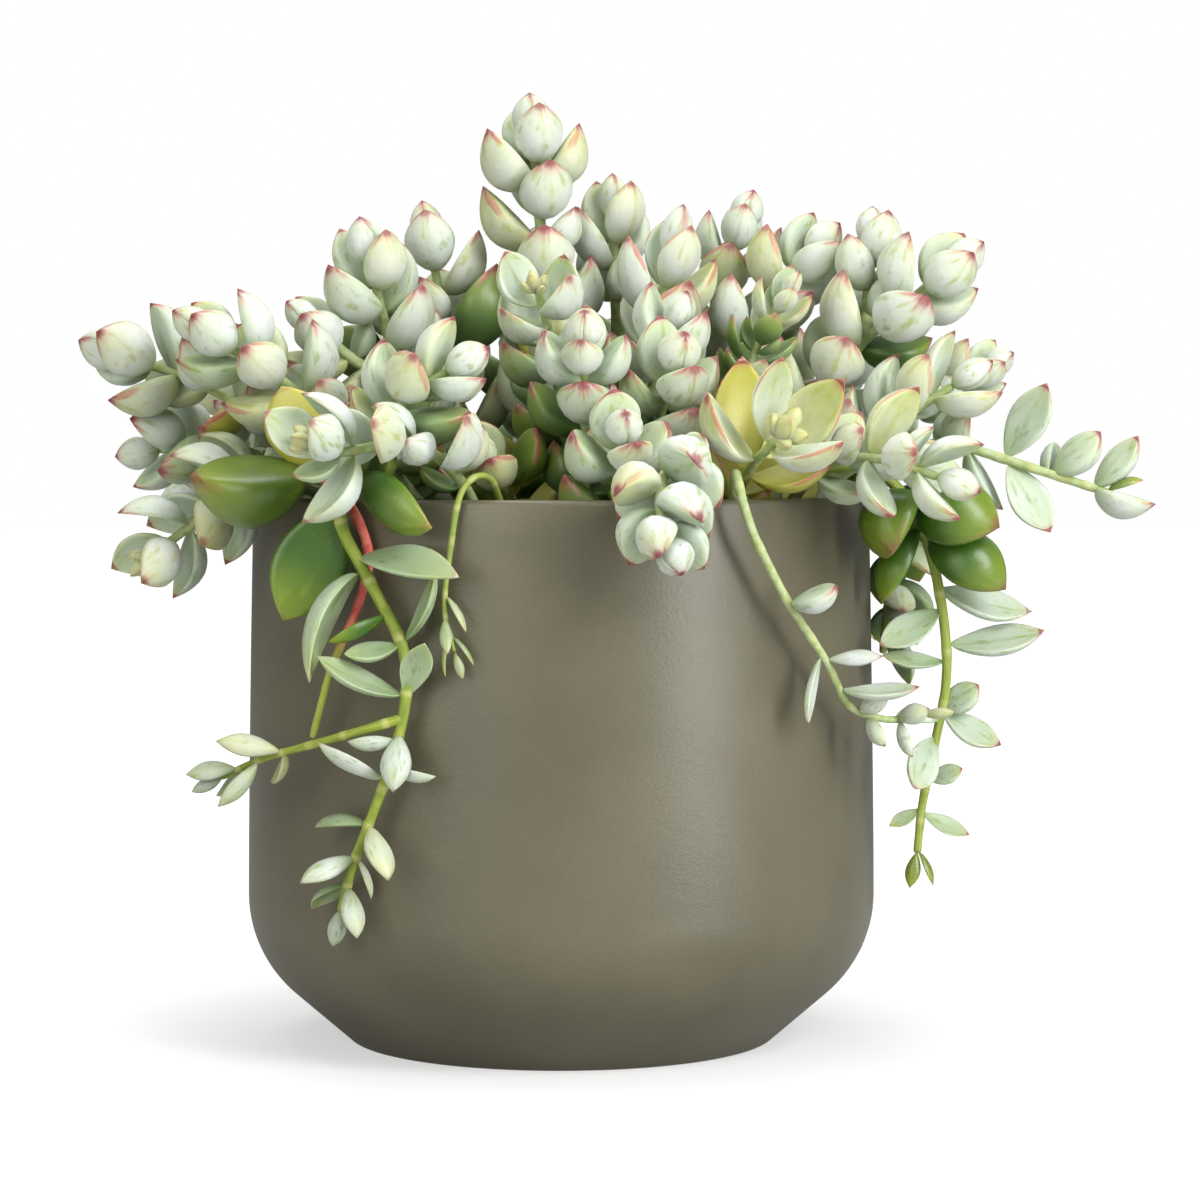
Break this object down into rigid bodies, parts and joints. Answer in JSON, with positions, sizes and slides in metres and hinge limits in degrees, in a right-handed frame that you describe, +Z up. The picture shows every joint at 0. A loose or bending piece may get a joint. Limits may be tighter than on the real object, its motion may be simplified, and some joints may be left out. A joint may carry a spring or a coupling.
{
  "type": "potted cotyledon",
  "caption": "Trailing cotyledon with plump, pointed leaves in pairs, a low crown over the rim of a plain matt ceramic pot and stems that hang down its sides.",
  "frame": {"origin": "centre of the pot's flat foot, on the surface that it stands on", "axes": "+Z up along the pot's axis, -Y towards the side that the picture shows, +X to the right seen from there"},
  "size_m": [0.2993, 0.2343, 0.2703],
  "materials": {
    "ceramic": "matte",
    "soil": "matte",
    "foliage": "matte"
  },
  "bodies": {
    "root": {"pot": "ceramic", "soil": "soil", "spike": "foliage", "front_rosette": "foliage", "crown_right": "foliage", "crown_shelf": "foliage", "crown_back": "foliage", "right_peak": "foliage", "right_tuft": "foliage", "bud_sprig": "foliage", "front_left": "foliage", "white_rosette": "foliage", "front_bud": "foliage", "front_crest": "foliage", "front_skirt": "foliage", "front_nook": "foliage", "front_drop": "foliage", "sword_rosette": "foliage", "left_arm": "foliage", "left_crest": "foliage", "left_tuft": "foliage", "left_peak": "foliage", "left_low": "foliage", "left_mid": "foliage", "left_old": "foliage", "left_trail": "foliage", "left_sprig": "foliage", "right_front": "foliage", "right_crest": "foliage", "right_mid": "foliage", "right_arm": "foliage", "right_sprig": "foliage", "right_trail": "foliage", "front_trail": "foliage", "right_shade": "foliage", "back_left_arm": "foliage", "back_left_tuft": "foliage", "back_crown": "foliage", "back_tuft": "foliage", "back_right_tuft": "foliage", "back_right_arm": "foliage", "back_left_low": "foliage", "back_left_fall": "foliage", "back_fall": "foliage", "back_right_fall": "foliage", "back_right_low": "foliage", "back_trail": "foliage", "back_right_trail": "foliage", "back_left_side": "foliage"}
  },
  "joints": []
}
